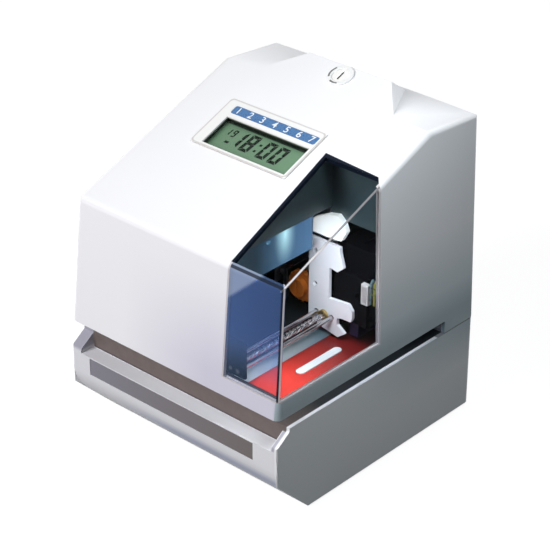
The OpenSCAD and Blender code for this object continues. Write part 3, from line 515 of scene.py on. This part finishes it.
half_wide, half_high, bend = 33.5, 17.75, 3
paint = Paint("frame_white")
across, along, out = on_display(*paint.millimetres())
over_x = across.math("ABSOLUTE") - (half_wide - bend)
over_y = along.math("ABSOLUTE") - (half_high - bend)
bow = (over_x.maximum(0.0) ** 2 + over_y.maximum(0.0) ** 2) ** 0.5
inset = bend - bow - over_x.maximum(over_y).math("MINIMUM", 0.0)
rim = inset.below(0.75, 0.6) * inset.above(-0.3, 0.4)
fine = paint.noise(grain_scale, 3)
# Painted shade: a line in the groove round the frame's outer edge, and near black on its walls below the
# slope
hue = paint.layered(
    paint.mix(paint.noise(cloud_scale, 4), (0.87, 0.865, 0.85), (0.85, 0.845, 0.83)),
    (rim, (0.62, 0.59, 0.57)),
    (out.below(0, 0.6), (0.02, 0.025, 0.02)))
frame_white = paint.surface(paint.principled(Base_Color=hue, Roughness=fine * 0.08 + 0.34,
                                             Normal=paint.bump(fine, 0.00002, 0.6)))
rounded("display_frame", "lcd_bezel", 0.00028, frame_white, "cover")

paint = Paint("strip_blue")
ink = paint.noise(1400, 4)
fleck = paint.noise(260, 2)
hue = paint.mix(fleck, (0.04, 0.13, 0.32), (0.06, 0.19, 0.4))
dress(paint.surface(paint.principled(Base_Color=hue, Roughness=ink * 0.12 + 0.22,
                                     Normal=paint.bump(ink, 0.000008, 0.4))), "weekday_strip")

number_white = moulded("number_white", (0.88, 0.9, 0.92), (0.82, 0.85, 0.88), 0.5, 0.000004)
first_day, day_step = -23.4, 8.55
printed = bmesh.new()
for day in range(7):
    letter = bpy.data.curves.new("number", "FONT")
    letter.body = str(day + 1)
    letter.size = 0.0062
    letter.offset = 0.00005
    letter.align_x = letter.align_y = "CENTER"
    letter.extrude = 0.00002
    holder = bpy.data.objects.new("number", letter)
    bpy.context.scene.collection.objects.link(holder)
    bpy.context.view_layer.update()
    mesh = plain(holder)
    mesh.transform(display @ Matrix.Translation(Vector((first_day + day_step * day, 11.15, 0.73)) / 1000))
    printed.from_mesh(mesh)
    bpy.data.objects.remove(holder)
numbers = bpy.data.meshes.new("day_numbers")
printed.to_mesh(numbers)
printed.free()
piece("day_numbers", numbers, number_white, "cover")

paint = Paint("panel_green")
across, along, out = on_display(*paint.millimetres())
# Painted shade: the green is darker towards the left; the dark top band is partly printed mask, partly
# painted shade
green = paint.mix(((across + 25.7) / 60).clamped(), (0.125, 0.22, 0.135), (0.155, 0.275, 0.17))
hue = paint.layered(green, (paint.noise(70, 2) * 0.4, (0.14, 0.25, 0.16)),
                    (along.above(4.3, 0.5), (0.008, 0.014, 0.01)))
dots = paint.noise(1500, 2)
dress(paint.surface(paint.principled(Base_Color=hue, Roughness=dots * 0.1 + 0.3,
                                     Normal=paint.bump(dots, 0.000006, 0.3))), "lcd_panel")

paint = Paint("lens_clear")
facing = paint.node("ShaderNodeLayerWeight", {}, {"Blend": 0.5}, "Facing")
mirror = paint.node("ShaderNodeBsdfGlossy", {}, {"Color": (1, 1, 1, 1), "Roughness": 0.04})
clear = paint.node("ShaderNodeBsdfTransparent", {}, {"Color": (0.95, 0.97, 0.95, 1)})
smear = paint.noise(120, 3)
dress(paint.surface(paint.blend(facing ** 5 * 0.4 + smear * 0.012 + 0.004, clear, mirror)), "lcd_lens")

# Seven strokes of a digit, as points on a grid 6 wide and 11.8 high
strokes = {
    "a": [(0.3, 11.8), (5.7, 11.8), (4.0, 9.85), (2.0, 9.85)],
    "b": [(6.0, 11.4), (6.0, 6.1), (5.2, 5.95), (4.1, 6.8), (4.1, 9.7)],
    "c": [(6.0, 5.7), (6.0, 0.4), (4.1, 2.1), (4.1, 5.0), (5.2, 5.85)],
    "d": [(0.3, 0), (5.7, 0), (4.0, 1.95), (2.0, 1.95)],
    "e": [(0, 5.7), (0, 0.4), (1.9, 2.1), (1.9, 5.0), (0.8, 5.85)],
    "f": [(0, 11.4), (0, 6.1), (0.8, 5.95), (1.9, 6.8), (1.9, 9.7)],
    "g": [(1.0, 5.9), (2.0, 4.95), (4.0, 4.95), (5.0, 5.9), (4.0, 6.85), (2.0, 6.85)],
}
digit_strokes = {"0": "abcdef", "1": "bc", "8": "abcdefg", "9": "abcdfg"}


def digit(figure, u, v, size=1.07):
    """Outlines of one lit digit whose grid starts at (u, v)."""
    lean = 0.12
    return [[(u + (p + lean * q) * size, v + q * size) for p, q in strokes[s]] for s in digit_strokes[figure]]


lit = digit("1", -16.4, -9.2) + digit("8", -8.1, -9.5) + digit("0", 3.9, -9.8) + digit("0", 12.4, -10.0)
lit += [[(p + 1.2, q) for p, q in square] for square in (
    [(-0.4, -7.2), (1.1, -7.2), (1.25, -5.7), (-0.25, -5.7)],
    [(0.2, -2.4), (1.7, -2.4), (1.85, -0.9), (0.35, -0.9)])]
lit += digit("1", -22.8, -3.4, 0.44) + digit("9", -18.8, -3.4, 0.44)
lit += [[(-18.8, -8.4), (-16.2, -8.4), (-15.7, -6.8), (-18.4, -6.8)]]
digit_ink = moulded("digit_ink", (0.001, 0.004, 0.002), (0.003, 0.008, 0.005), 0.5, 0.000003, gloss=0.02)
piece("lit_digits", plates(lit, -2.995, -2.94, display), digit_ink, "base")


# Light shield and lamp: a dark sheet hangs inside the window so that the mechanism's lamp doesn't dazzle,
# and a pale translucent plate spreads the lamp's bluish light over the print area.
shield_grey = moulded("shield_grey", (0.05, 0.075, 0.08), (0.035, 0.055, 0.062), 0.32, 0.00001, 1800)
dress(shield_grey, "light_shield")

paint = Paint("diffuser_blue")
x, y, z = paint.millimetres()
reach = ((y + 22.5) ** 2 + (z - 131) ** 2 * 0.2) ** 0.5
spot = (1 - reach / 9).maximum(0.0)
ribs = paint.noise(500, 3, paint.stretched((1, 1, 0.1)))
tone = paint.mix(y.above(-23, 44), (0.004, 0.012, 0.018), (0.07, 0.15, 0.3))
warm = paint.mix(spot ** 1.6, tone, (0.6, 0.95, 1.0))
# The plate glows for the lens, but only a twentieth of its glow falls on the things around it
shed = paint.mix(seen_directly(paint), paint.mix(0.05, (0, 0, 0), warm), warm)
plate = paint.principled(
    Base_Color=paint.mix(ribs, (0.03, 0.065, 0.09), (0.06, 0.11, 0.15)), Roughness=ribs * 0.2 + 0.3,
    Emission_Color=shed, Emission_Strength=1.0)
thin = paint.node("ShaderNodeBsdfTransparent", {}, {"Color": (0.6, 0.8, 0.92, 1)})
dress(paint.surface(paint.blend(spot * 0.2 + 0.68, thin, plate)), "lamp_diffuser")

paint = Paint("lamp_white")
x, y, z = paint.millimetres()
tip = z.below(129.6, 1.0)
fine = paint.noise(900, 2)
dress(paint.surface(paint.principled(Base_Color=(0.8, 0.85, 0.9), Roughness=fine * 0.1 + 0.3,
                                     Emission_Color=paint.mix(tip, (0.0, 0.0, 0.0), (0.6, 0.9, 1.0)),
                                     Emission_Strength=2.0)), "lamp")

# The reflector glows a little as painted light, standing for the lamp's light on it, though it is no lamp
paint = Paint("reflector_white")
fine = paint.noise(1800, 3)
hue = paint.mix(paint.noise(60, 3), (0.9, 0.94, 0.95), (0.84, 0.89, 0.92))
dress(paint.surface(paint.principled(
    Base_Color=hue, Roughness=fine * 0.1 + 0.28, Normal=paint.bump(fine, 0.000008, 0.4),
    Emission_Color=(0.95, 0.95, 0.92), Emission_Strength=0.42)), "reflector")

# Two small lamps stand for the light that the plate and the reflector throw on the mechanism and the table
print_lamp = soft_box("print_lamp", (0.16, -0.55, 0.8), 0.062, 0.03, 0.022, (0.93, 0.97, 1.0),
                      (0.044, -0.002, 0.095))
table_lamp = soft_box("table_lamp", (0.02, 0.12, 0.2), 0.06, 0.02, 0.0095, (0.97, 0.98, 1.0),
                      (0.04, -0.056, 0.058))
for light in (print_lamp, table_lamp):
    light.data.spread = math.radians(84)
    light.visible_camera = light.visible_glossy = False


# Lock: a nickel-plated barrel turns in a white lacquered ring, held by a nut behind the slope. Two dark
# crescents of painted shadow lie at the ring's rim beside the key slot.
def turned(name, colour, roughness):
    """Lathe-turned plated metal: concentric tool marks and small changes in its sheen."""
    paint = Paint(name)
    rings = {"wave_type": "RINGS", "rings_direction": "Z"}
    marks = paint.node("ShaderNodeTexWave", rings, {
        "Vector": paint.coordinates(), "Scale": 1500.0, "Distortion": 1.2}, "Fac")
    stain = paint.noise(160, 3)
    hue = paint.mix(stain, colour, tuple(c * 0.86 for c in colour))
    return paint.surface(paint.principled(
        Base_Color=hue, Metallic=1.0, Roughness=stain * 0.12 + marks * 0.05 + roughness,
        Normal=paint.bump(marks, 0.000006, 0.4)))


nickel = turned("nickel", (0.95, 0.95, 0.94), 0.3)
ring_white = moulded("ring_white", (0.85, 0.85, 0.84), (0.8, 0.8, 0.79), 0.34, 0.000006)
rounded("lock_rosette", "lock_body", 0.0004, ring_white, "cover")
rounded("lock_plug", "lock_barrel", 0.0003, nickel, "lock")
# Painted shadow: two dark crescents at the ring's rim beside the key slot
rim_shadow_black = moulded("rim_shadow_black", (0.14, 0.14, 0.14), (0.2, 0.2, 0.2), 0.5)
shadow_outside, shadow_inside = 7.0, 6.0
marks = []
for degrees in (range(145, 216, 7), range(245, 291, 9)):
    arc = [Vector((math.cos(math.radians(a)), math.sin(math.radians(a)))) for a in degrees]
    marks.append([p * shadow_outside for p in arc] + [p * shadow_inside for p in reversed(arc)])
piece("lock_rim_shadows", plates(marks, 0.9, 1.03, on_slope(0, 52.5)), rim_shadow_black, "cover")


# Sheet metal: the chassis, the lamp arm, the lever bracket and the lock catch are bent from sheet steel and
# screwed down. What stands behind the window is painted a greenish black, the rest is zinc plated.
def painted(name, colour, shade, roughness, gloss=0.5):
    """Powder-painted sheet: orange peel, a little dust and a soft sheen."""
    paint = Paint(name)
    peel = paint.noise(1100, 2)
    dust = paint.noise(45, 5)
    hue = paint.mix((dust - 0.4) * 1.8, colour, shade)
    return paint.surface(paint.principled(Base_Color=hue, Roughness=dust * 0.16 + roughness - 0.06,
                                          Normal=paint.bump(peel, 0.00003, 0.5), Specular_IOR_Level=gloss))


def plated(name, colour, roughness, along=(1, 1, 0.06), scale=1600):
    """Plated or drawn steel: streaks along its length and cloudy passivation."""
    paint = Paint(name)
    streak = paint.noise(scale, 3, paint.stretched(along))
    cloud = paint.noise(60, 4)
    hue = paint.mix(cloud, colour, tuple(c * 0.8 for c in colour))
    return paint.surface(paint.principled(
        Base_Color=hue, Metallic=1.0, Roughness=streak * 0.14 + cloud * 0.08 + roughness,
        Normal=paint.bump(streak, 0.000008, 0.35)))


chassis_black = painted("chassis_black", (0.003, 0.004, 0.004), (0.007, 0.009, 0.009), 0.6, 0.04)
zinc = plated("zinc", (0.62, 0.63, 0.62), 0.3)
rounded("chassis_sheet", "chassis", 0.0003, chassis_black, "base", 1)
dress(chassis_black, "lamp_arm")
dress(zinc, "trigger_bracket", "lock_catch", "lock_cam", "base_screws", "chassis_screws")


# Rods and drive: two ground guide rods carry the carriage, and a steel screw with a fast four-start thread
# moves it. A moulded gear on the screw's end meshes with the brass pinion of the stepping motor.
rod_steel = plated("rod_steel", (0.86, 0.87, 0.88), 0.14, (1, 0.05, 1), 2400)
paint = Paint("ground_rods")
x, y, z = paint.millimetres()
streak = paint.noise(2400, 3, paint.stretched((1, 0.05, 1)))
ends = y.below(-60.6, 0.2)
ground_rods = paint.surface(paint.principled(
    Base_Color=paint.mix(ends, (0.6, 0.6, 0.61), (0.03, 0.03, 0.035)), Metallic=1 - ends,
    Roughness=streak * 0.16 + 0.12, Normal=paint.bump(streak, 0.000008, 0.35)))
dress(ground_rods, "guide_rods")
dress(rod_steel, "motor_shaft")


class Recipe(Graph):
    """A shape, with its sizes as named inputs. It may start from a mesh."""

    def __init__(self, name, sizes, starts_from=None):
        tree = self.tree = bpy.data.node_groups.new(name, "GeometryNodeTree")
        if starts_from:
            tree.interface.new_socket(starts_from, in_out="INPUT", socket_type="NodeSocketGeometry")
        for label, size in sizes.items():
            kind = "NodeSocketInt" if isinstance(size, int) else "NodeSocketFloat"
            tree.interface.new_socket(label, in_out="INPUT", socket_type=kind).default_value = size
        tree.interface.new_socket("Material", in_out="INPUT", socket_type="NodeSocketMaterial")
        tree.interface.new_socket("Geometry", in_out="OUTPUT", socket_type="NodeSocketGeometry")
        self.given = tree.nodes.new("NodeGroupInput")

    def value(self, label):
        return Wire(self.tree, self.given.outputs[label])

    def tube(self, curve, radius, sides):
        section = self.node("GeometryNodeCurvePrimitiveCircle", {}, {"Resolution": sides, "Radius": radius})
        inputs = {"Curve": curve, "Profile Curve": section, "Fill Caps": True}
        return self.node("GeometryNodeCurveToMesh", {}, inputs)

    def finish(self, shape):
        whole = self.node("GeometryNodeRealizeInstances", {}, {"Geometry": shape})
        dressing = {"Geometry": whole, "Material": self.value("Material")}
        whole = self.node("GeometryNodeSetMaterial", {}, dressing)
        self.node("NodeGroupOutput", {}, {0: whole}, None)
        return self.tree


def grown(name, tree, material, base=None, **sizes):
    """The plain mesh that a geometry tree makes from the given sizes."""
    seed = bpy.data.objects.new(name + "_seed", base or bpy.data.meshes.new(name))
    bpy.context.scene.collection.objects.link(seed)
    maker = seed.modifiers.new("maker", "NODES")
    maker.node_group = tree
    keys = {s.name: s.identifier for s in tree.interface.items_tree if s.in_out == "INPUT"}
    maker[keys["Material"]] = material
    for label, value in sizes.items():
        maker[keys[label]] = value
    mesh = plain(seed)
    bpy.data.objects.remove(seed)
    return mesh


recipe = Recipe("screw_thread", {
    "Radius": 0.0015, "Lead": 0.012, "Length": 0.1, "Ridge": 0.0004, "Starts": 4})
turns = recipe.value("Length") / recipe.value("Lead")
path = recipe.node("GeometryNodeCurveSpiral", {}, {
    "Resolution": 28, "Rotations": turns, "Start Radius": recipe.value("Radius"),
    "End Radius": recipe.value("Radius"), "Height": recipe.value("Length")})
ridge = recipe.tube(path, recipe.value("Ridge"), 8)
spots = recipe.node("GeometryNodeMeshLine", {}, {"Count": recipe.value("Starts"), "Offset": (0, 0, 0)})
which = recipe.node("GeometryNodeInputIndex")
turned_by = recipe.node("ShaderNodeCombineXYZ", {}, {"Z": which * (2 * math.pi) / recipe.value("Starts")})
copies = recipe.node("GeometryNodeInstanceOnPoints", {}, {
    "Points": spots, "Instance": ridge, "Rotation": turned_by})
spiral = recipe.finish(copies)


def lathe(outline, place, sides=48):
    """A turned solid from (radius, height) pairs in millimetres, closed at both ends."""
    work = bmesh.new()
    around = [(math.cos(2 * math.pi * k / sides), math.sin(2 * math.pi * k / sides)) for k in range(sides)]
    rings = [[work.verts.new((r * c / 1000, r * s / 1000, h / 1000)) for c, s in around] for r, h in outline]
    work.faces.new(list(reversed(rings[0])))
    work.faces.new(rings[-1])
    for low, high in zip(rings, rings[1:]):
        for k in range(sides):
            n = (k + 1) % sides
            work.faces.new((low[k], low[n], high[n], high[k]))
    bmesh.ops.recalc_face_normals(work, faces=work.faces)
    work.transform(place)
    mesh = bpy.data.meshes.new("turned")
    work.to_mesh(mesh)
    work.free()
    return tidy_mesh(mesh)


def joined(*meshes):
    work = bmesh.new()
    for mesh in meshes:
        work.from_mesh(mesh)
    mesh = bpy.data.meshes.new("joined")
    work.to_mesh(mesh)
    work.free()
    return tidy_mesh(mesh)


screw_line = Matrix.Translation((0.02755, 0, 0.069)) @ Matrix.Rotation(-math.pi / 2, 4, "X")
journal, root = 1.2, 1.34
core = lathe([(journal, -63.2), (journal, -60.2), (root, -60.1),
              (root, 47.6), (journal, 47.7), (journal, 54.7)], screw_line)
thread = grown("thread", spiral, ground_rods, Radius=0.0013, Length=0.107)
thread.transform(screw_line @ Matrix.Translation((0, 0, -0.06)))
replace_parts(piece("threaded_screw", joined(core, thread), ground_rods, "screw"), "lead_screw")
dress(moulded("gear_ivory", (0.78, 0.74, 0.6), (0.72, 0.67, 0.52), 0.4), "screw_gear")
dress(turned("brass", (0.78, 0.56, 0.22), 0.24), "motor_pinion", "drive_nut")
dress(painted("motor_black", (0.03, 0.032, 0.036), (0.05, 0.05, 0.055), 0.42), "motor")


# Print carriage: a glass-filled black block slides on the rods. Its white front plate guides the ribbon,
# and behind that sit the ribbon cassette, the round print head with its fins, and the orange knob.
mould_black = moulded("mould_black", (0.003, 0.003, 0.004), (0.005, 0.005, 0.006), 0.5, 0.00003, 1500, 0.02)
cassette_black = moulded("cassette_black", (0.002, 0.002, 0.003), (0.003, 0.003, 0.004), 0.5, size=2200,
                         gloss=0.01)
rounded("carriage_block", "carriage", 0.0003, mould_black, "carriage")
rounded("cassette_case", "ribbon_cassette", 0.0005, cassette_black, "carriage")
bracket_white = moulded("bracket_white", (0.86, 0.86, 0.9), (0.78, 0.78, 0.85), 0.35, 0.000008, 1800)
rounded("guide_plate", "ribbon_bracket", 0.0004, bracket_white, "carriage", 3)
head_black = moulded("head_black", (0.006, 0.006, 0.007), (0.014, 0.014, 0.015), 0.4, 0.00001, gloss=0.1)
dress(head_black, "print_head")
dress(moulded("connector_white", (0.54, 0.52, 0.52), (0.46, 0.45, 0.44), 0.4), "head_connector")
dress(turned("pin_steel", (0.75, 0.75, 0.77), 0.2), "print_pins")
orange = moulded("knob_orange", (0.4, 0.105, 0.012), (0.3, 0.07, 0.008), 0.45, 0.00002)
rounded("knob_wheel", "ribbon_knob", 0.00025, orange, "knob")
dress(moulded("lever_grey", (0.045, 0.047, 0.05), (0.06, 0.062, 0.065), 0.45), "trigger_lever")

# The head's flat cable: six insulated strands leave the connector and turn back over the cassette's edge
recipe = Recipe("cable_strand", {"Radius": 0.0006, "Bend": 0.0015}, "Path")
line = recipe.node("GeometryNodeMeshToCurve", {}, {"Mesh": recipe.value("Path")})
bent = recipe.node("GeometryNodeFilletCurve", {}, {"Curve": line, "Radius": recipe.value("Bend")})
strand = recipe.finish(recipe.tube(bent, recipe.value("Radius"), 10))
strand_colours = ((0.1, 0.16, 0.18), (0.02, 0.03, 0.04), (0.22, 0.21, 0.04),
                  (0.13, 0.14, 0.03), (0.03, 0.08, 0.13), (0.01, 0.012, 0.014))
first_strand, strand_step = 58.35, 1.22
first_hole, hole_step = 87.2, 1.9
connector_x, connector_low = 57.6, 86.6
cable_y, cable_end, cable_top = 10.9, 12.6, 100.4
for n, colour in enumerate(strand_colours):
    x, hole = first_strand + strand_step * n, first_hole + hole_step * n
    start = [(connector_x, cable_y, hole), (x, cable_y, hole)] if n % 2 else [(x, cable_y, connector_low)]
    stops = start + [(x, cable_y, cable_top), (x, cable_end, cable_top)]
    route = bpy.data.meshes.new("route")
    route.from_pydata([Vector(s) / 1000 for s in stops], [(i, i + 1) for i in range(len(stops) - 1)], [])
    sleeve = moulded("strand_" + str(n), colour, tuple(c * 0.8 for c in colour), 0.4, 0.000005)
    mesh = tidy_mesh(grown("strand", strand, sleeve, route))
    piece("cable_strand_" + str(n), mesh, sleeve, "carriage")

paint = Paint("ribbon_ink")
threads = {"Vector": paint.coordinates(), "Scale": 900.0}
warp, weft = (paint.node("ShaderNodeTexWave", {"wave_type": "BANDS", "bands_direction": way}, threads, "Fac")
              for way in ("X", "DIAGONAL"))
cloth = warp * weft
hue = paint.mix(cloth, (0.012, 0.008, 0.03), (0.03, 0.022, 0.07))
dress(paint.surface(paint.principled(
    Base_Color=hue, Roughness=cloth * 0.2 + 0.6, Normal=paint.bump(cloth, 0.00003, 0.6))), "ribbon")


# Table: a red printed film stuck on the base shows where the stamp lands. It has a pale blue band along
# its left side and the white rubber platen stands through it. Its red and its band are painted darker
# towards the back, to near black there, as painted shade.
paint = Paint("label_print")
x, y, z = paint.millimetres()
print_grain = paint.noise(1300, 3)
pale = paint.mix(y.above(-14, 40), (0.86, 0.93, 0.96), (0.2, 0.3, 0.36))
red = paint.mix(y.above(-16, 40), (0.78, 0.05, 0.035), (0.12, 0.006, 0.006))
hue = paint.layered(red, (print_grain * 0.3, (0.6, 0.05, 0.04)), (x.below(30.6, 0.4), pale),
                    (y.above(15, 7) * 0.9, (0.006, 0.003, 0.003)))
dress(paint.surface(paint.principled(Base_Color=hue, Roughness=print_grain * 0.14 + 0.3,
                                     Normal=paint.bump(print_grain, 0.000008, 0.4))), "position_label")
dress(moulded("platen_rubber", (0.86, 0.86, 0.86), (0.76, 0.76, 0.77), 0.55, 0.00002), "platen")


# Electronics: the display board with its switches stands on the chassis tray. The main board, the
# transformer, the back-up cells and the mains inlet sit in the base.
def board(name):
    """Green solder mask over copper tracks, with tinned pads."""
    paint = Paint(name)
    cells = paint.node("ShaderNodeTexBrick", {"offset": 0.3}, {
        "Vector": paint.coordinates(), "Scale": 210.0, "Mortar Size": 0.018}, "Fac")
    cloud = paint.noise(300, 3)
    hue = paint.mix(cells, (0.01, 0.09, 0.035), (0.02, 0.15, 0.06))
    spread = {"Vector": paint.coordinates(), "Scale": 190.0}
    pads = paint.node("ShaderNodeTexVoronoi", {}, spread, "Distance").below(0.12, 0.05)
    hue = paint.mix(pads, hue, (0.6, 0.6, 0.58))
    return paint.surface(paint.principled(Base_Color=hue, Roughness=cloud * 0.12 + 0.28,
                                          Normal=paint.bump(cells + pads * 0.6, 0.00002, 0.4)))


dress(board("board_green"), "display_board", "main_board")
dress(moulded("chip_black", (0.02, 0.02, 0.021), (0.032, 0.032, 0.033), 0.5), "board_parts", "switch_bodies")
key_grey = moulded("key_grey", (0.09, 0.1, 0.12), (0.12, 0.13, 0.15), 0.45)
dress(key_grey, "button_left", "button_middle", "button_right")
dress(moulded("inlet_black", (0.012, 0.012, 0.013), (0.02, 0.02, 0.021), 0.4), "power_inlet")
dress(moulded("cell_sleeve", (0.05, 0.16, 0.42), (0.07, 0.2, 0.48), 0.25), "battery_pack")

paint = Paint("laminations")
x, y, z = paint.millimetres()
layers = (y * 9.0).math("SINE") * 0.5 + 0.5
rust = paint.noise(90, 4)
hue = paint.mix(rust, (0.12, 0.115, 0.11), (0.2, 0.17, 0.14))
dress(paint.surface(paint.principled(Base_Color=hue, Metallic=0.6, Roughness=rust * 0.2 + 0.4,
                                     Normal=paint.bump(layers, 0.00008, 0.5))), "transformer")


# Underside: a grey moulded plate closes the base from below. Four screws hold it, and a rubber foot is
# pressed in at each corner.
dress(moulded("plate_grey", (0.1, 0.105, 0.115), (0.13, 0.135, 0.145), 0.5, 0.00004, 1500), "bottom_plate")
paint = Paint("foot_rubber")
dust = paint.noise(500, 5)
hue = paint.mix(dust, (0.015, 0.015, 0.015), (0.04, 0.04, 0.04))
dress(paint.surface(paint.principled(
    Base_Color=hue, Roughness=dust * 0.15 + 0.75, Normal=paint.bump(dust, 0.00005, 0.5))), "feet")
